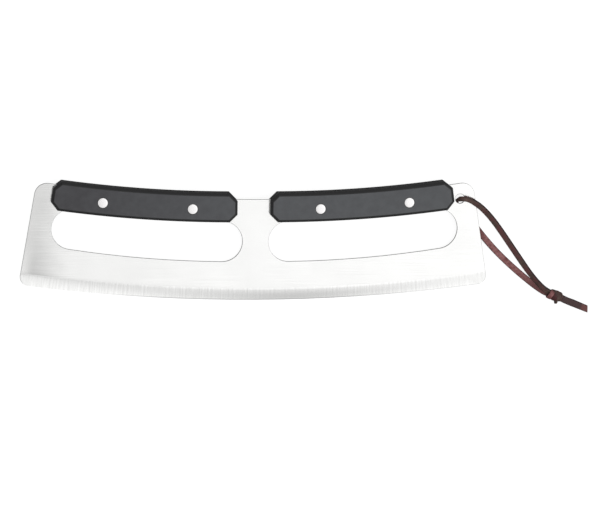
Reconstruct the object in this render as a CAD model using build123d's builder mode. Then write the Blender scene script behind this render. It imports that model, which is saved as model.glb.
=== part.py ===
"""Rocking pizza knife with two riveted handles and a leather lanyard, lying on a table.

Lengths are in millimetres. +X runs along the blade, +Y from the cutting edge to the handles, +Z up.
The knife rests as it does in life, on its cutting edge and on the lower rims of its back scales.
"""
import os
from math import asin, atan2, cos, degrees, pi, radians, sin, sqrt, tan

from build123d import *

os.makedirs("parts", exist_ok=True)

# Blade: stamped sheet, widest at the lower corners
blade_length = 356.8
blade_thickness = 2.0
edge_rise = 12.25  # how far the lower corners stand above the lowest point of the edge
side_taper = 13.2  # by which each side leans in, up to the shoulder
bridge_height = 77.0  # of the top edge, between the two handles
shoulder_rise = 13.9  # of the upper corners above the bridge
lower_corner_radius = 7.0
upper_corner_radius = 9.5

# Cutting edge: ground on both faces
grind_width = 9.2
edge_flat = 0.3  # thickness left at the edge

# Hand slots: arched, with round ends
strap_width = 16.7  # steel left between a slot and the bridge's top edge
slot_width = 30.9
slot_gap = 19.7  # between the two slots
slot_end_inset = 11.15  # from the upper corner in to the slot's outer end
slot_arc_radius = 795.0
slot_arc_offset = 15.0  # from the blade's middle to the slot arc's lowest point

# Hanging hole, measured in from the upper right corner
hanging_hole_diameter = 7.2
hanging_hole_side_inset = 9.6
hanging_hole_top_inset = 13.4

# Handle scales: arched slabs with clipped corners
scale_width = 22.1
scale_thickness = 6.5
scale_overhang = 5.35  # above the bridge
scale_gap = 24.8  # between the left and right scales
scale_end_inset = 13.3  # from the upper corner in to the scale's outer end
scale_drift = -1.95  # both handles sit this much to the left of the middle
scale_arc_radius = 965.0
scale_arc_offset = 14.3
scale_clip = 5.8  # cut off each corner
scale_chamfer = 1.9  # of the outer rim

# Cutler's rivets, two halves each
rivet_inset = 36.0  # from each end of a scale
rivet_drop = 1.2  # below the scale's centre line
rivet_head_diameter = 7.5
rivet_head_thickness = 1.8
socket_diameter = 4.8
post_diameter = 3.2
rivet_play = 0.05  # round heads, socket and post
rivet_end_gap = 0.4  # between the end of a shank and the other half's head

# Leather lanyard: a flat lace, as an eight-sided tube of about the same section
lace_diameter = 3.4
lace_sides = 8
bend_share = 0.45  # of a run, taken up by the arc at its end
knot_diameter = 8.5
knot_length = 11.4
knot_place = (231.0, -43.3)
knot_turn = -25.0  # direction of the knot's axis, in degrees from +X
knot_lift = 0.05  # above the table
wrap_turns = 2
wrap_gap = 0.4  # between one wrap and the next
knot_core_diameter = 7.6
knot_end_length = 2.4  # how far the lace's short end sticks out of the knot

overrun = 1.0  # of cutting shapes past the faces they cut

# From under the blade up through the hanging hole, over the front face and down to the knot
front_leg_route = [
    (158.6, 25.0, 2.0),
    (156.4, 28.6, 2.2),
    (154.7, 31.1, 5.2),
    (154.7, 31.1, 10.3),
    (157.3, 31.2, 12.6),
    (162.4, 30.1, 12.7),
    (169.2, 26.6, 12.2),
    (175.6, 21.2, 9.3),
    (181.6, 14.5, 5.6),
    (188.0, 6.2, 2.9),
    (195.3, -4.2, 1.8),
    (203.2, -16.0, 1.8),
    (210.2, -26.1, 2.0),
    (216.8, -32.8, 4.0),
    (221.82, -37.6, 5.5),
    (226.35, -39.71, 5.5),
]
# From the same place under the blade to the knot
back_leg_route = [
    (158.6, 25.0, 2.0),
    (161.2, 20.75, 1.76),
    (166.9, 12.5, 1.77),
    (174.0, 3.4, 1.77),
    (181.9, -6.0, 1.77),
    (190.0, -14.2, 1.77),
    (198.0, -21.4, 1.77),
    (206.2, -28.4, 1.8),
    (214.4, -35.3, 2.1),
    (220.64, -40.15, 3.3),
    (225.17, -42.26, 3.3),
]
# From the knot to the cut end
tail_route = [
    (236.42, -45.17, 3.9),
    (240.2, -46.93, 3.9),
    (245.4, -49.0, 2.3),
    (251.0, -51.6, 1.77),
    (256.2, -53.7, 1.77),
]

half_blade = blade_thickness / 2
half_length = blade_length / 2
half_shoulder = half_length - side_taper
shoulder_height = bridge_height + shoulder_rise
belly_radius = (half_length**2 + edge_rise**2) / (2 * edge_rise)

slot_height = bridge_height - strap_width - slot_width / 2
slot_inner_reach = (slot_gap + slot_width) / 2
slot_outer_reach = half_shoulder - slot_end_inset - slot_width / 2

scale_height = bridge_height + scale_overhang - scale_width / 2
scale_inner_reach = scale_gap / 2
scale_outer_reach = half_shoulder - scale_end_inset
scale_inner_turn = asin((scale_inner_reach - scale_arc_offset) / scale_arc_radius)
scale_outer_turn = asin((scale_outer_reach - scale_arc_offset) / scale_arc_radius)
scale_top_radius = scale_arc_radius - scale_width / 2
scale_bottom_radius = scale_arc_radius + scale_width / 2

# How the knife lies: the back face leans on the scales' lower outer rims
rim_height = scale_height - scale_width / 2 + scale_chamfer
rim_depth = half_blade + scale_thickness
lie_angle = atan2(rim_depth - edge_flat / 2, rim_height)
top_turn = scale_outer_turn - scale_clip / scale_arc_radius
top_height = scale_height + scale_arc_radius - scale_top_radius * cos(top_turn)
depth_in_y = top_height * cos(lie_angle) + (rim_depth - scale_chamfer) * sin(lie_angle)
blade_plane = Plane(
    origin=(0, -depth_in_y / 2, edge_flat / 2 * cos(lie_angle)),
    x_dir=(1, 0, 0),
    z_dir=(0, -sin(lie_angle), cos(lie_angle)),
)
blade_axis = Axis(blade_plane.origin, blade_plane.z_dir)
hanging_hole_place = (half_shoulder - hanging_hole_side_inset, shoulder_height - hanging_hole_top_inset)


def rivet_place(reach):
    """Gives the place of a rivet on the blade. Its reach from the middle is negative on the left."""
    run = abs(reach) - scale_arc_offset
    rise = scale_arc_radius - sqrt(scale_arc_radius**2 - run**2)
    return (reach, scale_height - rivet_drop + rise)


def scale_point(side, radius, turn):
    """Gives a point of a scale's outline from its distance and angle at the centre of the scale's arc."""
    return (
        side * (scale_arc_offset + radius * sin(turn)) + scale_drift,
        scale_height + scale_arc_radius - radius * cos(turn),
    )


rivet_reaches = {
    "left_outer": rivet_inset - scale_outer_reach,
    "left_inner": -rivet_inset - scale_inner_reach,
    "right_inner": scale_inner_reach + rivet_inset,
    "right_outer": scale_outer_reach - rivet_inset,
}
rivet_places = {name: rivet_place(reach) for name, reach in rivet_reaches.items()}


def finish(piece, name):
    """Labels a piece and writes it."""
    piece.part.label = name
    export_step(piece.part, f"parts/{name}.step")


# Blade
slot_start = degrees(asin((slot_inner_reach - slot_arc_offset) / slot_arc_radius))
slot_end = degrees(asin((slot_outer_reach - slot_arc_offset) / slot_arc_radius))
lowest = 270  # direction from an arc's centre to its lowest point
grind_turn = asin(half_length / belly_radius) + grind_width / belly_radius
grind_centre = blade_plane.from_local_coords((0, belly_radius, 0))
grind_plane = Plane(
    origin=grind_centre,
    x_dir=-blade_plane.y_dir * cos(grind_turn) - blade_plane.x_dir * sin(grind_turn),
    z_dir=blade_plane.y_dir * sin(grind_turn) - blade_plane.x_dir * cos(grind_turn),
)
with BuildPart() as blade:
    with BuildSketch(blade_plane):
        with BuildLine():
            edge_line = ThreePointArc((-half_length, edge_rise), (0, 0), (half_length, edge_rise))
            top_line = ThreePointArc(
                (half_shoulder, shoulder_height), (0, bridge_height), (-half_shoulder, shoulder_height)
            )
            Line(edge_line @ 1, top_line @ 0)
            Line(top_line @ 1, edge_line @ 0)
        make_face()
        fillet(vertices().group_by(Axis.Y)[0], lower_corner_radius)
        fillet(vertices().group_by(Axis.Y)[-1], upper_corner_radius)
        for side in (-1, 1):
            with BuildLine(mode=Mode.PRIVATE) as slot_line:
                CenterArc(
                    (side * slot_arc_offset, slot_height + slot_arc_radius),
                    slot_arc_radius,
                    lowest + side * slot_start,
                    side * (slot_end - slot_start),
                )
            SlotArc(slot_line.line.edge(), slot_width, mode=Mode.SUBTRACT)
        with Locations(*rivet_places.values()):
            Circle(socket_diameter / 2 + rivet_play, mode=Mode.SUBTRACT)
        with Locations(hanging_hole_place):
            Circle(hanging_hole_diameter / 2, mode=Mode.SUBTRACT)
    extrude(amount=half_blade, both=True)
    # The grind: a wedge off each face, turned round the centre of the edge's arc
    with BuildSketch(grind_plane):
        for face in (-1, 1):
            with BuildLine():
                Polyline(
                    (belly_radius - grind_width, face * half_blade),
                    (belly_radius, face * edge_flat / 2),
                    (belly_radius + overrun, face * edge_flat / 2),
                    (belly_radius + overrun, face * (half_blade + overrun)),
                    (belly_radius - grind_width, face * (half_blade + overrun)),
                    close=True,
                )
            make_face()
    grind_axis = Axis(grind_centre, blade_plane.z_dir)
    revolve(axis=grind_axis, revolution_arc=degrees(2 * grind_turn), mode=Mode.SUBTRACT)
finish(blade, "blade")


def scale_outline(side):
    """Draws the closed outline of a scale: two arcs, two square ends and four clipped corners."""
    clip_inner = scale_inner_turn + scale_clip / scale_arc_radius
    clip_outer = scale_outer_turn - scale_clip / scale_arc_radius
    middle = (clip_inner + clip_outer) / 2
    bottom = ThreePointArc(
        scale_point(side, scale_bottom_radius, clip_inner),
        scale_point(side, scale_bottom_radius, middle),
        scale_point(side, scale_bottom_radius, clip_outer),
    )
    top = ThreePointArc(
        scale_point(side, scale_top_radius, clip_outer),
        scale_point(side, scale_top_radius, middle),
        scale_point(side, scale_top_radius, clip_inner),
    )
    Polyline(
        bottom @ 1,
        scale_point(side, scale_bottom_radius - scale_clip, scale_outer_turn),
        scale_point(side, scale_top_radius + scale_clip, scale_outer_turn),
        top @ 0,
    )
    Polyline(
        top @ 1,
        scale_point(side, scale_top_radius + scale_clip, scale_inner_turn),
        scale_point(side, scale_bottom_radius - scale_clip, scale_inner_turn),
        bottom @ 0,
    )


# Handle scales: one on each face of the blade, left and right
for side_name, side in (("left", -1), ("right", 1)):
    for face_name, face in (("front", 1), ("back", -1)):
        seat = blade_plane.offset(face * half_blade)
        with BuildPart() as scale:
            with BuildSketch(seat):
                with BuildLine():
                    scale_outline(side)
                make_face()
                with Locations(*[place for name, place in rivet_places.items() if side_name in name]):
                    Circle(socket_diameter / 2 + rivet_play, mode=Mode.SUBTRACT)
            extrude(amount=face * scale_thickness)
            outer_face = faces().filter_by(blade_axis).sort_by(blade_axis)[-1 if face > 0 else 0]
            chamfer(outer_face.outer_wire().edges(), scale_chamfer)
            with BuildSketch(blade_plane.offset(face * (rim_depth - rivet_head_thickness))):
                with Locations(*[place for name, place in rivet_places.items() if side_name in name]):
                    Circle(rivet_head_diameter / 2 + rivet_play)
            extrude(amount=face * (rivet_head_thickness + overrun), mode=Mode.SUBTRACT)
        finish(scale, f"{side_name}_{face_name}_scale")

# Cutler's rivets: a socket from the front and a post from the back, both with flush heads
head_seat = rim_depth - rivet_head_thickness
for name, place in rivet_places.items():
    with BuildPart() as socket:
        with BuildSketch(blade_plane.offset(head_seat)):
            with Locations(place):
                Circle(rivet_head_diameter / 2)
        extrude(amount=rivet_head_thickness)
        with BuildSketch(blade_plane.offset(head_seat)):
            with Locations(place):
                Circle(socket_diameter / 2)
                Circle(post_diameter / 2 + rivet_play, mode=Mode.SUBTRACT)
        extrude(amount=rivet_end_gap - 2 * head_seat)
    finish(socket, f"{name}_rivet_socket")
    with BuildPart() as post:
        with BuildSketch(blade_plane.offset(-head_seat)):
            with Locations(place):
                Circle(rivet_head_diameter / 2)
        extrude(amount=-rivet_head_thickness)
        with BuildSketch(blade_plane.offset(-head_seat)):
            with Locations(place):
                Circle(post_diameter / 2)
        extrude(amount=2 * head_seat - rivet_end_gap)
    finish(post, f"{name}_rivet_post")


def bend_radii(route):
    """Gives each corner of a route the arc that takes up its share of the shorter of its two runs."""
    points = [Vector(*point) for point in route]
    radii = []
    for before, here, after in zip(points, points[1:], points[2:]):
        arrive = here - before
        leave = after - here
        half_turn = radians(arrive.get_angle(leave)) / 2
        radii.append(bend_share * min(arrive.length, leave.length) / tan(half_turn))
    return radii


def bent_path(route):
    """Draws a route as straight runs joined by tangent arcs, and returns the arcs' radii."""
    radii = bend_radii(route)
    FilletPolyline(*route, radius=radii)
    return radii


def lace_section():
    """Draws the lace's cross-section."""
    RegularPolygon(lace_diameter / 2, lace_sides)


# Lanyard: the lace's free stretches
for name, route in (
    ("lanyard_front_leg", front_leg_route),
    ("lanyard_back_leg", back_leg_route),
    ("lanyard_tail", tail_route),
):
    with BuildPart() as lace:
        with BuildLine() as path:
            radii = bent_path(route)
        with BuildSketch(Plane(origin=path.line @ 0, z_dir=path.line % 0)) as section:
            lace_section()
        sweep()
    finish(lace, name)
    length = path.wire().length
    filled = lace.part.volume / (section.sketch.area * length)
    print(name, "length", round(length, 1), "volume against section times length", round(filled, 4))
    print("    bend radii", [round(radius, 1) for radius in radii])

# Knot: the lace wrapped round a core, where the legs and the tail meet its flat ends
knot_radius = knot_diameter / 2
wrap_radius = knot_radius - lace_diameter / 2
wrap_pitch = lace_diameter + wrap_gap
along = Vector(cos(radians(knot_turn)), sin(radians(knot_turn)), 0)
across = Vector(-along.Y, along.X, 0)
up = Vector(0, 0, 1)
knot_centre = Vector(*knot_place, knot_radius + knot_lift)
knot_start = knot_centre - along * (knot_length / 2)


def wrap_point(turns, radius):
    """Gives a point of the wraps, where turns counts from the knot's middle, at the bottom."""
    angle = 2 * pi * turns
    outward = across * sin(angle) + up * cos(angle)
    return knot_centre + along * (turns * wrap_pitch) - outward * radius


quarter_turns = 4 * wrap_turns
corner_turns = [(corner + 1 / 2 - quarter_turns / 2) / 4 for corner in range(quarter_turns)]
wrap_route = [
    wrap_point(-wrap_turns / 2, wrap_radius),
    *[wrap_point(turns, wrap_radius * sqrt(2)) for turns in corner_turns],
    wrap_point(wrap_turns / 2, wrap_radius) - across * (knot_radius + knot_end_length),
]
with BuildPart() as knot:
    with BuildSketch(Plane(origin=knot_start, z_dir=along)):
        Circle(knot_core_diameter / 2)
    extrude(amount=knot_length)
    with BuildLine() as path:
        bent_path(wrap_route)
    with BuildSketch(Plane(origin=path.line @ 0, z_dir=path.line % 0)):
        lace_section()
    sweep()
finish(knot, "lanyard_knot")
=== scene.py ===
"""Rocking pizza knife: a brushed steel blade with riveted charcoal scales and a leather lanyard.

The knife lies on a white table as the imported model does, on its cutting edge and its back scales. Lengths are
in metres.
"""

from math import atan2, cos, pi, radians, sin
from types import SimpleNamespace

import bmesh
import bpy
from mathutils import Matrix, Vector


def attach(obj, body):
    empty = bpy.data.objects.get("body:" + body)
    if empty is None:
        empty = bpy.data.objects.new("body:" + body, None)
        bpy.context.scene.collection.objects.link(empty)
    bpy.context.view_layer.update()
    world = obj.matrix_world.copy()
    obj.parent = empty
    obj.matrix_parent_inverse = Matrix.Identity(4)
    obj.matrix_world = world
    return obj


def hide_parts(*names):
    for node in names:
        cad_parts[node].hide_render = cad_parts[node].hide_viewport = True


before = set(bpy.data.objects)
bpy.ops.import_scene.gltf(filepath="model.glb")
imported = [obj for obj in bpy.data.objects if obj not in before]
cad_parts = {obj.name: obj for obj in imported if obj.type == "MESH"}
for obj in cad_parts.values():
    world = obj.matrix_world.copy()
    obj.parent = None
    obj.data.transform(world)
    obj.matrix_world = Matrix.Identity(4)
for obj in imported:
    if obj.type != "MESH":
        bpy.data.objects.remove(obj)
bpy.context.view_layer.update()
scene = bpy.context.scene

# Blade: one stamped sheet of stainless steel, 2 mm thick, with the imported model's own form. Its faces are
# brushed along its length, the grind on each face is cut straight across the edge, and the stamped rims are
# deburred.
lie_angle = radians(6.745)
edge_middle = Vector((0, -0.04566, 0.000149))
blade_along = Vector((1, 0, 0))
blade_up = Vector((0, cos(lie_angle), sin(lie_angle)))
blade_out = Vector((0, -sin(lie_angle), cos(lie_angle)))
belly_radius = 1.3052
blade_deburr = 0.00035
rim_turn = radians(86)  # least angle between the faces at a stamped rim
face_lean = radians(8)  # most that a face or a grind leans from the blade's plane
grind_turn = radians(3)  # least angle between a face of the blade and its grind
grind_blending = 0.0018  # how far the belt softened the line above the grind
grind_steps = 4
merge_reach = 1e-6
flat_turn = radians(0.05)
arris_turn = radians(25)
arris_steps = 2

# Finish of the blade, and the shade painted on it: ranges along it, and up from the middle of its edge
# Painted shade at the left end: where it is painted darker, its darker spot, and how much is left off the rim
painted_shade_reach = (-0.158, -0.122)
shade_edge_drift = 0.016  # how far the brushing marks shift that range
shade_spot_middle = (-0.165, 0.0245, 0)
shade_spot_radii = (0.002, 0.014)
side_lean = 0.168  # how far the left side leans in for each metre that it rises
unshaded_rim_reach = (-0.1805, -0.171)  # from the left side inwards, at the height of the edge's middle
unshaded_rim_height = (0.024, 0.045)
unshaded_rim_shares = (0.7, 0.2)  # of the painted shade, left off the rim at those two heights
left_grind_slope = 0.12  # by which the line above the grind falls to the right, near the left corner
# Painted shade along the line above the grind near the left corner
grind_shade_height = (0.0005, 0.005)
grind_shade_start = (-0.172, -0.16)
grind_shade_end = (-0.152, -0.136)
# A dark line painted along the grind's edge: painted shade
edge_shade_radii = (belly_radius - 0.0008, belly_radius - 0.0003)
edge_shade_start = (-0.12, -0.07)
edge_shade_fading = (0.06, 0.12)
edge_shade_share = 0.45  # of the painted edge shade's depth, left at the right end
cloud_scale = 30.0  # of the paler and darker clouds over any of the steels
mark_spread = (0.25, 0.75)  # from the dark brushing marks to the bright ones
noise_spread = (0.3, 0.7)  # most of the other noises' values


def copied(node):
    """Copies a node's solid as one closed mesh without needless edges."""
    form = bmesh.new()
    form.from_mesh(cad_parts[node].data)
    bmesh.ops.remove_doubles(form, verts=form.verts, dist=merge_reach)
    bmesh.ops.dissolve_limit(form, angle_limit=flat_turn, verts=form.verts, edges=form.edges)
    return form


def rounded(form, edges, radius, steps, clamped=True):
    """Rounds edges of a form and returns the new faces."""
    return bmesh.ops.bevel(
        form, geom=edges, offset=radius, offset_type="OFFSET", affect="EDGES",
        segments=steps, profile=0.5, material=-1, clamp_overlap=clamped,
    )["faces"]


def softened(form, radius, least_turn=arris_turn, clamped=True):
    """Rounds the arrises of a form, which it marks as worn."""
    arrises = [edge for edge in form.edges if edge.calc_face_angle(0) > least_turn]
    worn = form.faces.layers.float.new("worn")
    for face in rounded(form, arrises, radius, arris_steps, clamped):
        face[worn] = 1
    for face in form.faces:
        face.smooth = True


def in_order(form):
    """Sorts the points and faces of a form by their places, because bmesh leaves them in an order that can
    change from run to run."""
    places = {vertex: tuple(vertex.co) for vertex in form.verts}
    places.update({face: tuple(face.calc_center_median()) for face in form.faces})
    for elements in (form.verts, form.faces):
        for index, element in enumerate(sorted(elements, key=places.get)):
            element.index = index
        elements.sort()


def finished(form, name, materials, body, slot, *nodes):
    """Makes a form a piece of the scene that rides on a body and stands for the given nodes."""
    in_order(form)
    mesh = bpy.data.meshes.new(name)
    form.to_mesh(mesh)
    form.free()
    for material in materials:
        mesh.materials.append(material)
    piece = bpy.data.objects.new(name, mesh)
    scene.collection.objects.link(piece)
    shading = piece.modifiers.new("even_shading", "WEIGHTED_NORMAL")
    shading.keep_sharp = True
    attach(piece, body)
    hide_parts(*nodes)
    return piece


def colour(red, green, blue):
    """Gives the linear colour of an sRGB one."""
    shares = [channel / 255 for channel in (red, green, blue)]
    return (*[share / 12.92 if share <= 0.04045 else ((share + 0.055) / 1.055) ** 2.4 for share in shares], 1)


def add(tree, kind, inputs=(), **settings):
    """Adds a shader node with settings, and with inputs given as values or as other nodes' sockets."""
    node = tree.nodes.new("ShaderNode" + kind)
    for setting, value in settings.items():
        setattr(node, setting, value)
    for socket, value in dict(inputs).items():
        if isinstance(value, bpy.types.NodeSocket):
            tree.links.new(value, node.inputs[socket])
        else:
            node.inputs[socket].default_value = value
    return node


def calculated(tree, operation, *values):
    """Adds a maths node."""
    return add(tree, "Math", dict(enumerate(values)), operation=operation).outputs[0]


def times(tree, first, *others):
    """Adds nodes that multiply values."""
    for other in others:
        first = calculated(tree, "MULTIPLY", first, other)
    return first


def ranged(tree, value, low, high, from_low=0.0, from_high=1.0, steps="LINEAR"):
    """Adds a node that maps a value from one range to another."""
    inputs = {"Value": value, "From Min": from_low, "From Max": from_high, "To Min": low, "To Max": high}
    return add(tree, "MapRange", inputs, interpolation_type=steps).outputs[0]


def noise(tree, place, scale, detail, roughness=0.5):
    """Adds a noise."""
    inputs = {"Vector": place, "Scale": scale, "Detail": detail, "Roughness": roughness}
    return add(tree, "TexNoise", inputs).outputs[0]


def blended(tree, factor, first, second):
    """Adds a node that mixes two colours."""
    return add(tree, "Mix", {0: factor, 6: first, 7: second}, data_type="RGBA").outputs[2]


def cleared(owner):
    """Gives the emptied node tree of a material or a world."""
    owner.use_nodes = True
    owner.node_tree.nodes.clear()
    return owner.node_tree


def material_of(name):
    """Starts a material with a principled shader, and returns it with its tree and shader."""
    material = bpy.data.materials.new(name)
    tree = cleared(material)
    shader = add(tree, "BsdfPrincipled")
    add(tree, "OutputMaterial", {"Surface": shader.outputs[0]})
    return material, tree, shader


def set_shader(tree, shader, **inputs):
    """Gives the principled shader's sockets their values or links. Underscores stand for spaces."""
    for socket, value in inputs.items():
        socket = shader.inputs[socket.replace("_", " ")]
        if isinstance(value, bpy.types.NodeSocket):
            tree.links.new(value, socket)
        else:
            socket.default_value = value


def group_of(name, inputs, outputs):
    """Starts a shader node group and returns it with its input and output nodes."""
    group = bpy.data.node_groups.new(name, "ShaderNodeTree")
    for way, sockets in (("INPUT", inputs), ("OUTPUT", outputs)):
        for socket, kind in sockets.items():
            group.interface.new_socket(socket, in_out=way, socket_type="NodeSocket" + kind)
    return group, group.nodes.new("NodeGroupInput"), group.nodes.new("NodeGroupOutput")


# Brushing marks, long in the direction of the place's first coordinate
brushing, inside, outside = group_of(
    "brushing", {"Place": "Vector", "Streak length": "Float", "Streak width": "Float"}, {"Streaks": "Float"}
)
across_scale = calculated(brushing, "DIVIDE", 1.0, inside.outputs["Streak width"])
along_scale = calculated(brushing, "DIVIDE", 1.0, inside.outputs["Streak length"])
stretch = add(brushing, "CombineXYZ", {"X": along_scale, "Y": across_scale, "Z": across_scale}).outputs[0]
stretched = add(
    brushing, "VectorMath", {0: inside.outputs["Place"], 1: stretch}, operation="MULTIPLY"
).outputs[0]
marks = noise(brushing, stretched, scale=1.0, detail=4.0, roughness=0.62)
brushing.links.new(ranged(brushing, marks, 0, 1, *mark_spread), outside.inputs["Streaks"])


def brushed(name, streak_length, streak_width, cloudiness, dull, bright, smooth, rough, relief):
    """Makes a brushed steel whose colour, roughness and relief follow its brushing marks. Returns it with
    what a further finish builds on."""
    material, tree, shader = material_of(name)
    place = add(tree, "Attribute", attribute_name="finish").outputs["Vector"]
    marks = {"Place": place, "Streak length": streak_length, "Streak width": streak_width}
    streaks = add(tree, "Group", marks, node_tree=brushing).outputs["Streaks"]
    clouds = ranged(tree, noise(tree, place, cloud_scale, detail=2.0), 0, cloudiness, *noise_spread)
    shade = calculated(tree, "ADD", streaks, clouds)
    bump = add(tree, "Bump", {"Height": streaks, "Strength": 0.35, "Distance": relief})
    tone = blended(tree, ranged(tree, shade, 0, 1, 0, 1 + cloudiness), dull, bright)
    set_shader(
        tree, shader,
        Base_Color=tone,
        Metallic=1.0,
        Roughness=ranged(tree, shade, rough, smooth, 0, 1 + cloudiness),
        Normal=bump.outputs[0],
    )
    return material, SimpleNamespace(tree=tree, shader=shader, place=place, shade=shade, tone=tone)


face_steel, steel = brushed(
    "face_steel", streak_length=0.05, streak_width=0.0005, cloudiness=0.6,
    dull=colour(237, 237, 236), bright=colour(249, 249, 248), smooth=0.18, rough=0.24, relief=0.000004,
)
# Painted shade: the left end is painted darker, most in a spot above the corner and along the line above the
# grind. The painted shade is left off the rim at the corner.
tree = steel.tree
parts = add(tree, "SeparateXYZ", {"Vector": steel.place})
reach, height = parts.outputs["X"], parts.outputs["Y"]
inset = calculated(tree, "MULTIPLY_ADD", height, -side_lean, reach)
rim = ranged(tree, inset, 1, 0, *unshaded_rim_reach, "SMOOTHSTEP")
unshaded_rim = times(tree, rim, ranged(tree, height, *unshaded_rim_shares, *unshaded_rim_height))
uneven = calculated(tree, "MULTIPLY_ADD", steel.shade, shade_edge_drift, reach)
painted_shade = times(tree, ranged(tree, uneven, 1, 0, *painted_shade_reach, "SMOOTHSTEP"), ranged(tree, unshaded_rim, 1, 0))
apart = add(tree, "VectorMath", {0: steel.place, 1: shade_spot_middle}, operation="DISTANCE").outputs["Value"]
shade_spot = ranged(tree, apart, 1, 0, *shade_spot_radii, "SMOOTHSTEP")
shade_spot_colour = blended(tree, shade_spot, colour(213, 213, 212), colour(205, 205, 204))
# A darker line is painted above the grind near the left corner: painted shade
above_grind = calculated(tree, "MULTIPLY_ADD", reach, left_grind_slope, height)
grind_shade = times(
    tree, ranged(tree, above_grind, 1, 0, *grind_shade_height),
    ranged(tree, reach, 0, 1, *grind_shade_start), ranged(tree, reach, 1, 0, *grind_shade_end),
)
grind_shade_colour = blended(tree, grind_shade, shade_spot_colour, colour(197, 197, 196))
set_shader(tree, steel.shader, Base_Color=blended(tree, painted_shade, steel.tone, grind_shade_colour))

ground_steel, steel = brushed(
    "ground_steel", streak_length=0.02, streak_width=0.0016, cloudiness=0.25,
    dull=colour(229, 229, 228), bright=colour(255, 255, 254), smooth=0.1, rough=0.15, relief=0.000004,
)
# Painted shade: a dark line painted along the grind's edge, which fades to the left and is fainter to the right
tree = steel.tree
parts = add(tree, "SeparateXYZ", {"Vector": steel.place})
radial, along = parts.outputs["X"], parts.outputs["Y"]
edge_shade = times(
    tree, ranged(tree, radial, 0, 1, *edge_shade_radii),
    ranged(tree, along, 0, 1, *edge_shade_start), ranged(tree, along, 1, edge_shade_share, *edge_shade_fading),
)
set_shader(tree, steel.shader, Base_Color=blended(tree, edge_shade, steel.tone, colour(190, 190, 190)))


def finish_place(point, ground):
    """Gives the place in the finish of a point of the blade. The marks run along the first coordinate,
    which is along the blade on its faces, and towards the centre of the edge's arc on its grind."""
    place = point - edge_middle
    reach, height, depth = place.dot(blade_along), place.dot(blade_up), place.dot(blade_out)
    if not ground:
        return reach, height, depth
    turn = atan2(reach, belly_radius - height)
    return Vector((reach, belly_radius - height)).length, turn * belly_radius, 0


form = copied("blade")
grind_line = [
    edge for edge in form.edges
    if edge.calc_face_angle(0) > grind_turn
    and all(abs(face.normal.dot(blade_out)) > cos(face_lean) for face in edge.link_faces)
]
rounded(form, grind_line, grind_blending, grind_steps)
softened(form, blade_deburr, rim_turn, clamped=False)
finish = form.loops.layers.float_vector.new("finish")
for face in form.faces:
    ground = cos(face_lean) < abs(face.normal.dot(blade_out)) < cos(grind_turn)
    face.material_index = 1 if ground else 0
    for loop in face.loops:
        loop[finish] = finish_place(loop.vert.co, ground)
finished(form, "ground_blade", [face_steel, ground_steel], "knife", "blade_steel", "blade")

# Handle scales: arched slabs of charcoal plastic, two on each face of the blade. Their outer faces keep the
# mould's fine grain, and the rims are milled to a chamfer. The chamfers and sides take a much darker copy of
# the plastic, which is painted shade. The hand wears the arrises smooth.
scale_arris = 0.0003
outer_face_cosine = 0.98  # least one between an outer face and the blade's faces
worn_roughness = 0.36
plastic_mottle = 0.005
lit_middle_reach = (-0.16, 0.03)  # painted light: the scales are painted paler from the left end to the middle
mottle_share = 0.3

grain, inside, outside = group_of(
    "grain", {"Place": "Vector", "Grain size": "Float", "Mottle size": "Float"},
    {"Height": "Float", "Mottle": "Float"},
)
fine = calculated(grain, "DIVIDE", 1.0, inside.outputs["Grain size"])
coarse = calculated(grain, "DIVIDE", 1.0, inside.outputs["Mottle size"])
pits = noise(grain, inside.outputs["Place"], fine, detail=3.0)
mottle = noise(grain, inside.outputs["Place"], coarse, detail=3.0)
grain.links.new(pits, outside.inputs["Height"])
grain.links.new(ranged(grain, mottle, 0, 1, *noise_spread), outside.inputs["Mottle"])


def plastic(name, dark, pale, grain_size, relief, smooth, rough):
    """Makes a charcoal plastic with its grain, its mottled colour and its arrises polished by use. It is
    painted paler from the left end to the middle, which is painted light.
    """
    material, tree, shader = material_of(name)
    place = add(tree, "TexCoord").outputs["Object"]
    sizes = {"Place": place, "Grain size": grain_size, "Mottle size": plastic_mottle}
    surface = add(tree, "Group", sizes, node_tree=grain)
    worn = add(tree, "Attribute", attribute_name="worn").outputs["Fac"]
    reach = add(tree, "SeparateXYZ", {"Vector": place}).outputs["X"]
    lit_middle = ranged(tree, reach, 0, 1, *lit_middle_reach, "SMOOTHSTEP")
    tone = calculated(tree, "MULTIPLY_ADD", surface.outputs["Mottle"], mottle_share, lit_middle)
    bump = add(tree, "Bump", {"Height": surface.outputs["Height"], "Strength": 0.4, "Distance": relief})
    roughness = ranged(tree, surface.outputs["Mottle"], rough, smooth)
    set_shader(
        tree, shader,
        Base_Color=blended(tree, ranged(tree, tone, 0, 1, 0, 1 + mottle_share), dark, pale),
        Roughness=ranged(tree, worn, roughness, worn_roughness),
        Specular_IOR_Level=0.6,
        Normal=bump.outputs[0],
    )
    return material


moulded_plastic = plastic(
    "moulded_plastic", dark=colour(40, 39, 43), pale=colour(66, 68, 71), grain_size=0.0004, relief=0.00004,
    smooth=0.42, rough=0.5,
)
# A much darker copy of the plastic for the chamfers and sides: painted shade
chamfer_shade_plastic = plastic(
    "chamfer_shade_plastic", dark=colour(17, 17, 19), pale=colour(22, 22, 24), grain_size=0.0006, relief=0.00003,
    smooth=0.42, rough=0.52,
)

for side_name in ("left", "right"):
    for face_name in ("back", "front"):
        side = f"{side_name}_{face_name}"
        form = copied(f"{side}_scale")
        softened(form, scale_arris)
        # Outer faces take the moulded plastic, the chamfers and sides its darker copy, which is painted shade
        for face in form.faces:
            face.material_index = 0 if abs(face.normal.dot(blade_out)) > outer_face_cosine else 1
        finished(
            form, f"{side}_grip", [moulded_plastic, chamfer_shade_plastic], "knife", "scale_plastic", f"{side}_scale"
        )

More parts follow.
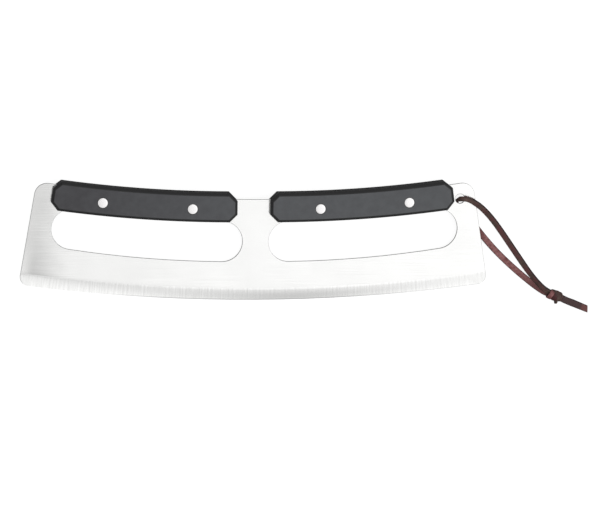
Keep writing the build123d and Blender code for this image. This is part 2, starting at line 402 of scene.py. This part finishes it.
# Cutler's rivets: a socket pressed in from the front takes a post from the back. Both are turned from
# stainless steel, with flush heads that are crowned a little and polished.
rivet_places = {  # along the blade, and up from the middle of its edge
    "left_outer": (-0.1159, 0.07546),
    "left_inner": (-0.0484, 0.0707),
    "right_inner": (0.0484, 0.0707),
    "right_outer": (0.1159, 0.07546),
}
rim_depth = 0.0075  # from the blade's middle to a scale's outer face
head_radius, head_thickness = 0.00375, 0.0018
head_rounding = 0.0003
crown_height = 0.00005
socket_radius, socket_bore = 0.0024, 0.00165
post_radius = 0.0016
shank_end = 0.0004  # left between a shank and the other half's head
rivet_steps = 48
head_seat = rim_depth - head_thickness
inner_end = shank_end - head_seat

rivet_steel = brushed(
    "rivet_steel", streak_length=0.004, streak_width=0.0004, cloudiness=1.0,
    dull=colour(234, 232, 232), bright=colour(252, 251, 251), smooth=0.2, rough=0.3, relief=0.00001,
)[0]


def turned(name, node, place, face, profile):
    """Turns a rivet half from its profile of radii and heights, and sets it in its hole."""
    form = bmesh.new()
    points = [form.verts.new((radius, 0, height)) for radius, height in profile]
    for first, second in zip(points, points[1:]):
        form.edges.new((first, second))
    bmesh.ops.spin(
        form, geom=[*form.verts, *form.edges], cent=(0, 0, 0), axis=(0, 0, 1), dvec=(0, 0, 0),
        angle=2 * pi, steps=rivet_steps, use_merge=True, use_duplicate=False,
    )
    bmesh.ops.remove_doubles(form, verts=form.verts, dist=merge_reach)
    finish = form.loops.layers.float_vector.new("finish")
    for shape in form.faces:
        shape.smooth = True
        for loop in shape.loops:
            loop[finish] = loop.vert.co
    for edge in form.edges:
        edge.smooth = edge.calc_face_angle(0) < arris_turn
    axes = Matrix((blade_along, face * blade_up, face * blade_out)).transposed()
    centre = edge_middle + place[0] * blade_along + place[1] * blade_up
    bmesh.ops.transform(form, matrix=Matrix.Translation(centre) @ axes.to_4x4(), verts=form.verts)
    bmesh.ops.recalc_face_normals(form, faces=form.faces)
    finished(form, name, [rivet_steel], "knife", "rivet_steel", node)


# Half sections of the head and of each rivet half, as radii and heights, from the middle of the crown inwards
head_profile = [
    (0.0, rim_depth + crown_height),
    (head_radius * 0.4, rim_depth + crown_height * 0.84),
    (head_radius * 0.75, rim_depth + crown_height * 0.3),
    (head_radius - head_rounding, rim_depth - head_rounding * 0.2),
    (head_radius - head_rounding * 0.3, rim_depth - head_rounding * 0.5),
    (head_radius, rim_depth - head_rounding * 1.3),
    (head_radius, head_seat),
]
socket_profile = [
    *head_profile,
    (socket_radius, head_seat),
    (socket_radius, inner_end),
    (socket_bore, inner_end),
    (socket_bore, head_seat),
    (0.0, head_seat),
]
post_profile = [*head_profile, (post_radius, head_seat), (post_radius, inner_end), (0.0, inner_end)]
for name, place in rivet_places.items():
    turned(f"{name}_socket", f"{name}_rivet_socket", place, 1, socket_profile)
    turned(f"{name}_post", f"{name}_rivet_post", place, -1, post_profile)

# Lanyard: one flat leather lace, doubled through the hanging hole. Its grain side is dyed dark brown, its
# flesh side is a raw reddish brown, and its cut edges are stained nearly black.
lace_width, lace_thickness = 0.0047, 0.0020
lace_corner = 0.0006
lace_corner_steps = 3
lace_columns = 4
cut_turn = radians(60)
route_grain = 12  # points of a smoothed line for each one of its route

front_leg_route = [
    (0.1575, 0.0225, 0.0018), (0.1541, 0.0245, 0.0020), (0.1535, 0.0292, 0.0040),
    (0.1542, 0.0308, 0.0096), (0.1560, 0.0313, 0.0134), (0.1620, 0.0307, 0.0134),
    (0.1693, 0.0266, 0.0123), (0.1757, 0.0212, 0.0095), (0.1819, 0.0147, 0.0060),
    (0.1884, 0.0065, 0.0034), (0.1957, -0.0039, 0.0025), (0.2037, -0.0155, 0.0025),
    (0.2108, -0.0256, 0.0027), (0.2168, -0.0328, 0.0042), (0.2215, -0.0377, 0.0054),
    (0.2259, -0.0404, 0.0056),
]
back_leg_route = [
    (0.1575, 0.0225, 0.0018), (0.1612, 0.02065, 0.0015), (0.1669, 0.0125, 0.0013),
    (0.1740, 0.0034, 0.0013), (0.1820, -0.0059, 0.0013), (0.1901, -0.0141, 0.0013),
    (0.1980, -0.0214, 0.0013), (0.2062, -0.0284, 0.0013), (0.2146, -0.0351, 0.0017),
    (0.2210, -0.0397, 0.0026), (0.2255, -0.0418, 0.0031),
]
tail_route = [
    (0.2363, -0.0455, 0.0044), (0.2401, -0.0473, 0.0040), (0.2453, -0.0493, 0.0024),
    (0.2510, -0.0516, 0.0014), (0.2562, -0.0537, 0.0014),
]
# Each stretch's stops: its share, where the grain side looks there, how wide the lace is pressed and how
# far its edges curl away from the grain side.
front_leg_lie = [
    (0.0, (0, 0, -1), 0.0047, 0), (0.06, (-0.7, 0.3, -0.6), 0.0044, 0.0002),
    (0.1, (-0.65, 0.75, 0), 0.0038, 0.0002), (0.14, (-0.5, 0.35, 0.5), 0.0037, 0.0001),
    (0.18, (-0.35, -0.25, 0.85), 0.0038, 0.0001), (0.24, (-0.2, -0.6, 0.8), 0.0046, 0.0001),
    (0.32, (-0.35, -0.5, 0.8), 0.0047, 0.0001), (0.7, (-0.4, -0.45, 0.8), 0.0047, 0.0001),
    (0.86, (-0.5, -0.6, 0.62), 0.0045, 0.0001), (1.0, (-0.3, -0.4, 0.85), 0.0043, 0),
]
back_leg_lie = [
    (0.0, (0, 0, -1), 0.0048, 0), (0.8, (0.05, 0.05, -1), 0.0048, 0), (1.0, (0.1, 0.1, -1), 0.0045, 0),
]
tail_lie = [
    (0.0, (0.1, 0.2, 1), 0.0052, 0.0003), (0.5, (-0.1, -0.15, 1), 0.0055, 0.0002),
    (1.0, (0, 0, 1), 0.0050, 0.0001),
]

# How far along the lace its colours change. The knot's strands and the tail count on from the legs.
tail_start = 0.14
fresh_share = 0.3  # of the ageing, which shows near the hanging hole too
faded_reach = (0.03, 0.055)
# Where the flesh side is painted darker near the knot: a painted shadow of the front leg on the back leg
leg_shadow_reach = (0.066, 0.084)
# Inside the knot the flesh side is painted dark: painted shade between the strands
knot_shade_reach = (0.1, 0.11)
dark_tail_reach = (0.130, 0.140)
worn_tip_reach = (tail_start + 0.0205, tail_start + 0.0235)
grain_side = (-0.0004, 0.0006)  # through the lace, from the flesh side to the grain side
stained_edge = (lace_width * 0.36, lace_width * 0.49)
stain_share = 0.85
leather_mottle = 0.0022
leather_grain = 0.0005
ageing_scale = 160.0
ageing_spread = (0.42, 0.6)


def smooth_line(route):
    """Draws a route as a smooth spline and gives the points along it."""
    curve = bpy.data.curves.new("line", "CURVE")
    curve.dimensions = "3D"
    curve.resolution_u = route_grain
    spline = curve.splines.new("NURBS")
    spline.points.add(len(route) - 1)
    for point, place in zip(spline.points, route):
        point.co = (*place, 1)
    spline.order_u = 3
    spline.use_endpoint_u = True
    line = bpy.data.objects.new("line", curve)
    scene.collection.objects.link(line)
    traced = bpy.data.meshes.new_from_object(line)
    points = [vertex.co.copy() for vertex in traced.vertices]
    bpy.data.objects.remove(line)
    bpy.data.curves.remove(curve)
    bpy.data.meshes.remove(traced)
    return points


def lace_section(form, lace):
    """Lays the lace's section flat in a form, marks where its points lie in the lace, and returns it."""
    done = set(form.faces)
    section = bmesh.ops.create_grid(form, x_segments=lace_columns, y_segments=1, size=0.5)["verts"]
    bmesh.ops.scale(form, vec=(lace_width, lace_thickness, 1), verts=section)
    bmesh.ops.bevel(
        form, geom=[vertex for vertex in section if len(vertex.link_edges) == 2], offset=lace_corner,
        offset_type="OFFSET", affect="VERTICES", segments=lace_corner_steps, profile=0.5, material=-1,
        clamp_overlap=True,
    )
    faces = [face for face in form.faces if face not in done]
    for vertex in {vertex for face in faces for vertex in face.verts}:
        vertex[lace] = (vertex.co.x, 0, vertex.co.y)
    return faces


def lie_at(lie, share):
    """Gives where the grain side looks, the width and the curl at a share of a stretch."""
    place = max(number for number, stop in enumerate(lie[:-1]) if stop[0] <= share)
    (low, *before), (high, *after) = lie[place], lie[place + 1]
    part = (share - low) / (high - low)
    looking = Vector(before[0]).lerp(Vector(after[0]), part)
    width, curl = (first + (second - first) * part for first, second in zip(before[1:], after[1:]))
    return looking, width, curl


def lace_along(form, points, lie, start=0.0):
    """Sweeps the lace's section along points, from a start that far along the lace, as its lie says."""
    lace = form.verts.layers.float_vector.get("lace") or form.verts.layers.float_vector.new("lace")
    faces = lace_section(form, lace)
    steps = [0.0]
    for first, second in zip(points, points[1:]):
        steps.append(steps[-1] + (second - first).length)
    for index, (point, step) in enumerate(zip(points, steps)):
        looking, width, curl = lie_at(lie, step / steps[-1])
        forward = (points[min(index + 1, len(points) - 1)] - points[max(index - 1, 0)]).normalized()
        across = looking.cross(forward).normalized()
        out = forward.cross(across)
        if index:
            region = dict.fromkeys(edge for face in faces for edge in face.edges)
            grown = bmesh.ops.extrude_face_region(form, geom=[*faces, *region])["geom"]
            faces = [item for item in grown if isinstance(item, bmesh.types.BMFace)]
        for vertex in {vertex for face in faces for vertex in face.verts}:
            side, through = vertex[lace].x, vertex[lace].z
            bent = through - curl * (2 * side / lace_width) ** 2
            vertex.co = point + across * side * width / lace_width + out * bent
            vertex[lace] = (side, start + step, through)


def laced(form, name, node):
    """Makes a swept form a piece of leather on the lanyard."""
    bmesh.ops.recalc_face_normals(form, faces=form.faces)
    for face in form.faces:
        face.smooth = True
    for edge in form.edges:
        edge.smooth = edge.calc_face_angle(0) < cut_turn
    return finished(form, name, [leather], "lanyard", "lace_leather", node)


leather, tree, shader = material_of("lace_leather")
place = add(tree, "Attribute", attribute_name="lace").outputs["Vector"]
parts = add(tree, "SeparateXYZ", {"Vector": place})
side, along, through = (parts.outputs[name] for name in ("X", "Y", "Z"))
sizes = {"Place": place, "Grain size": leather_grain, "Mottle size": leather_mottle}
surface = add(tree, "Group", sizes, node_tree=grain)
mottle = surface.outputs["Mottle"]
# Grain side
dyed = blended(tree, mottle, colour(56, 44, 40), colour(84, 67, 61))
ageing = ranged(tree, noise(tree, place, ageing_scale, detail=2.0), 0, 1, *ageing_spread)
patches = times(tree, ageing, ranged(tree, along, fresh_share, 1, *faded_reach))
reddened = blended(tree, patches, dyed, colour(87, 53, 53))
dark_tail = blended(tree, ranged(tree, along, 0, 1, *dark_tail_reach), reddened, colour(61, 43, 43))
worn_tip = blended(
    tree, ranged(tree, along, 0, 1, *worn_tip_reach, "SMOOTHSTEP"), dark_tail, colour(94, 58, 56)
)
# Flesh side, painted darker on the back leg near the knot (a painted shadow of the front leg) and inside the
# knot (painted shade between the strands)
fleshy = blended(tree, mottle, colour(96, 52, 52), colour(136, 93, 92))
flesh_leg_shadowed = blended(tree, ranged(tree, along, 0, 1, *leg_shadow_reach, "SMOOTHSTEP"), fleshy, colour(92, 56, 56))
flesh_knot_shaded = blended(tree, ranged(tree, along, 0, 1, *knot_shade_reach), flesh_leg_shadowed, colour(64, 32, 33))
both = blended(tree, ranged(tree, through, 0, 1, *grain_side, "SMOOTHSTEP"), flesh_knot_shaded, worn_tip)
breadth = calculated(tree, "ABSOLUTE", side)
stain = ranged(tree, breadth, 0, stain_share, *stained_edge, "SMOOTHSTEP")
bump = add(tree, "Bump", {"Height": surface.outputs["Height"], "Strength": 0.7, "Distance": 0.00015})
set_shader(
    tree, shader,
    Base_Color=blended(tree, stain, both, colour(34, 24, 23)),
    Roughness=ranged(tree, mottle, 0.62, 0.5),
    Specular_IOR_Level=0.3,
    Normal=bump.outputs[0],
)

# Knot: one overhand knot where both legs meet. The doubled lace goes round them, two strands with their flesh
# side out and two with their grain side out, and its short end is left standing on the table.
knot_middle = Vector((0.2310, -0.0433, 0.00425))
knot_along = Vector((cos(radians(-25)), sin(radians(-25)), 0))
knot_across = Vector((-knot_along.y, knot_along.x, 0))
knot_up = Vector((0, 0, 1))
strand_curl = 0.0004
end_curl = 0.0002


def outward(turn):
    """Gives the direction away from the knot's axis at a turn in degrees, 0 on top and 90 on the far side."""
    return knot_up * cos(radians(turn)) + knot_across * sin(radians(turn))


def wrapped(form, way, start, wraps, end=()):
    """Lays the lace round the knot, with its grain side out where the way is 1 and its flesh side out where
    it is -1. Its places are given as shifts along the knot, turns, radii and widths, and those of its end
    as shifts along, across and up, with how far the lace twists edge-on there and its width."""
    route = [
        knot_middle + knot_along * shift + outward(turn) * radius for shift, turn, radius, width in wraps
    ]
    lie = [(outward(turn) * way, width, way * strand_curl) for shift, turn, radius, width in wraps]
    for shift, out, height, twist, width in end:
        route.append(knot_middle + knot_along * shift + knot_across * out + knot_up * height)
        lie.append((outward(wraps[-1][1]).lerp(knot_along, twist), width, way * end_curl))
    last = len(route) - 1
    lace_along(form, smooth_line(route), [(number / last, *stop) for number, stop in enumerate(lie)], start)


form = bmesh.new()
# This strand starts where the flesh side is painted dark: painted shade inside the knot
wrapped(
    form, -1, 0.11,
    [
        (-0.0002, 165, 0.0028, 0.0044), (0.0002, 115, 0.0026, 0.0044), (0.0002, 65, 0.0027, 0.0044),
        (0.0000, 20, 0.0031, 0.0044), (-0.0003, -25, 0.0034, 0.0044), (-0.0005, -70, 0.0037, 0.0044),
        (-0.0006, -115, 0.0035, 0.0044),
    ],
)
wrapped(
    form, -1, 0,
    [
        (-0.0022, 165, 0.0031, 0.0044), (-0.0027, 115, 0.0025, 0.0043), (-0.0031, 65, 0.0025, 0.0042),
        (-0.0037, 20, 0.0032, 0.0040), (-0.0042, -25, 0.0037, 0.0040), (-0.0044, -70, 0.0039, 0.0042),
        (-0.0042, -115, 0.0036, 0.0044), (-0.0038, -160, 0.0031, 0.0044),
    ],
)
wrapped(
    form, 1, 0.01,
    [
        (-0.0026, 165, 0.0030, 0.0045), (-0.0027, 120, 0.0028, 0.0045), (-0.0023, 80, 0.0031, 0.0046),
        (-0.0001, 45, 0.0036, 0.0047), (0.0022, 10, 0.0038, 0.0047), (0.0028, -25, 0.0032, 0.0046),
        (0.0023, -55, 0.0026, 0.0040),
    ],
    [
        (0.0023, -0.0027, 0.0003, 0.3, 0.0038), (0.0025, -0.0035, -0.0010, 0.6, 0.0033),
        (0.0032, -0.0047, -0.0016, 0.8, 0.0032),
    ],
)
wrapped(
    form, 1, 0.03,
    [
        (0.0006, 150, 0.0030, 0.0034), (0.0014, 100, 0.0035, 0.0034), (0.0027, 50, 0.0039, 0.0034),
        (0.0037, 5, 0.0037, 0.0032), (0.0038, -40, 0.0027, 0.0032), (0.0032, -90, 0.0022, 0.0032),
    ],
)
knot = laced(form, "tied_knot", "lanyard_knot")

# Tail: the long end of the same lace. It leaves the knot, sinks to the table and is cut off with a knife,
# square to the blade's length.
in_knot, past_cut = (0.2318, -0.0432, 0.0044), (0.2600, -0.0553, 0.0014)
cut_place = (0.2566, 0, 0)

form = bmesh.new()
lace_along(form, smooth_line([in_knot, *tail_route, past_cut]), tail_lie, tail_start)
trimmed = bmesh.ops.bisect_plane(
    form, geom=[*form.verts, *form.edges, *form.faces], plane_co=cut_place, plane_no=blade_along,
    clear_outer=True,
)
rims = [item for item in trimmed["geom_cut"] if isinstance(item, bmesh.types.BMEdge)]
bmesh.ops.contextual_create(form, geom=rims)
tail = laced(form, "lace_tail", "lanyard_tail")

# Legs: the two halves of the doubled lace. The front one comes up through the hanging hole and lies over the
# blade's corner, the back one leaves under the blade, and the knot holds both.
legs_meet = knot_middle + 0.001 * knot_along
legs_meet_share = 0.7  # of the way there from a route's last point


def leg(name, node, route, lie):
    """Makes one leg of the lanyard."""
    points = smooth_line([*route, Vector(route[-1]).lerp(legs_meet, legs_meet_share)])
    form = bmesh.new()
    lace_along(form, points, lie)
    lace = laced(form, name, node)


leg("front_lace", "lanyard_front_leg", front_leg_route, front_leg_lie)
leg("back_lace", "lanyard_back_leg", back_leg_route, back_leg_lie)

# Table: a broad white surface that the knife lies on. Seen straight by the camera it is lifted to a clean
# white, and the knife's own soft shadow stays on it.
table_half = 6
table_grey = 0.22
table_lift = 0.88  # light that the table gives off to the camera alone

form = bmesh.new()
bmesh.ops.create_grid(form, x_segments=1, y_segments=1, size=table_half)
mesh = bpy.data.meshes.new("table")
form.to_mesh(mesh)
form.free()
table = bpy.data.objects.new("table", mesh)
scene.collection.objects.link(table)
table_white = bpy.data.materials.new("table_white")
tree = cleared(table_white)
matt = add(tree, "BsdfDiffuse", {"Color": (table_grey, table_grey, table_grey, 1)})
seen = add(tree, "LightPath").outputs["Is Camera Ray"]
lift = add(tree, "Emission", {"Color": (1, 1, 1, 1), "Strength": ranged(tree, seen, 0.0, table_lift)})
together = add(tree, "AddShader", {0: matt.outputs[0], 1: lift.outputs[0]})
add(tree, "OutputMaterial", {"Surface": together.outputs[0]})
mesh.materials.append(table_white)

# Studio: a pale dome, bright overhead and darker towards the horizon and the left, with one large soft lamp
# on each side. The lamps don't show in the steel.
dome_levels = ((0.0, 0.42), (0.35, 0.42), (0.6, 0.7), (0.8, 1.25), (0.86, 1.25), (0.92, 1.13), (1.0, 1.15))
dome_sides = (-0.15, 0.25)
dome_side_levels = (0.72, 1.1)
# A dark band in front of the knife, bowed over it, which the grind mirrors
band_middle = 0.125  # sideways, where the band is farthest from overhead
band_reach = 0.53
band_bow = 12.0
band_half_width = 0.13
band_level = 0.05
band_depths = (  # from the middle of the dome to its right end
    (0.0, 0.5), (0.06, 0.27), (0.09, 0.36), (0.125, 0.74), (0.148, 0.57), (0.165, 0.3), (0.18, 0.37),
    (0.2, 0.25), (1.0, 0.2),
)
lamp_size, lamp_power = 0.9, 5.0
lamp_places = {"left_lamp": (-0.9, -0.7, 1.1), "right_lamp": (1.0, -0.2, 1.2)}


def graded(tree, factor, stops):
    """Adds a ramp of greys from 0 to 1, given as its stops' places, in their order, and levels."""
    ramp = add(tree, "ValToRGB", {"Fac": factor})
    elements = ramp.color_ramp.elements
    for place, level in stops[1:-1]:
        elements.new(place)
    for element, (place, level) in zip(elements, stops):
        element.color = (level, level, level, 1)
    return ramp.outputs[0]


world = bpy.data.worlds.new("studio")
scene.world = world
tree = cleared(world)
axes = add(tree, "SeparateXYZ", {"Vector": add(tree, "TexCoord").outputs["Generated"]})
sideways = ranged(tree, axes.outputs["X"], *dome_side_levels, *dome_sides)
height = graded(tree, axes.outputs["Z"], dome_levels)
dome = add(tree, "VectorMath", {0: height, "Scale": sideways}, operation="SCALE").outputs[0]
aside = calculated(tree, "SUBTRACT", axes.outputs["X"], band_middle)
bowed = calculated(tree, "MULTIPLY_ADD", times(tree, aside, aside), -band_bow, band_reach)
gap = calculated(tree, "ABSOLUTE", calculated(tree, "ADD", axes.outputs["Y"], bowed))
near = ranged(tree, gap, 1, 0, 0.0, band_half_width, "SMOOTHSTEP")
darkness = times(tree, graded(tree, axes.outputs["X"], band_depths), near)
shaded = blended(tree, darkness, dome, (band_level, band_level, band_level, 1))
seen = add(tree, "LightPath").outputs["Is Camera Ray"]
sky = blended(tree, seen, shaded, (1, 1, 1, 1))
background = add(tree, "Background", {"Color": sky, "Strength": 1.0})
add(tree, "OutputWorld", {"Surface": background.outputs[0]})

for name, place in lamp_places.items():
    lamp_data = bpy.data.lights.new(name, "AREA")
    lamp_data.size = lamp_size
    lamp_data.energy = lamp_power
    lamp = bpy.data.objects.new(name, lamp_data)
    scene.collection.objects.link(lamp)
    lamp.location = place
    lamp.rotation_euler = (-Vector(place)).to_track_quat("-Z", "Y").to_euler()
    lamp.visible_camera = False
    lamp.visible_glossy = False

# Camera: far above the knife and a little to its left, as the photograph was taken.
camera_place = Vector((-0.258821, 0.127955, 2.359681))
camera_right = Vector((0.994026, 0.003427, 0.109093))
camera_up = Vector((0.002528, 0.998516, -0.054404))
camera_back = camera_right.cross(camera_up)
camera_data = bpy.data.cameras.new("camera")
camera_data.sensor_width = 36
camera_data.lens = 188.4268
camera_data.shift_x = 0.074513
camera_data.shift_y = -0.026363
camera = bpy.data.objects.new("camera", camera_data)
scene.collection.objects.link(camera)
camera.matrix_world = (
    Matrix.Translation(camera_place) @ Matrix((camera_right, camera_up, camera_back)).transposed().to_4x4()
)
scene.camera = camera
scene.view_settings.view_transform = "Standard"
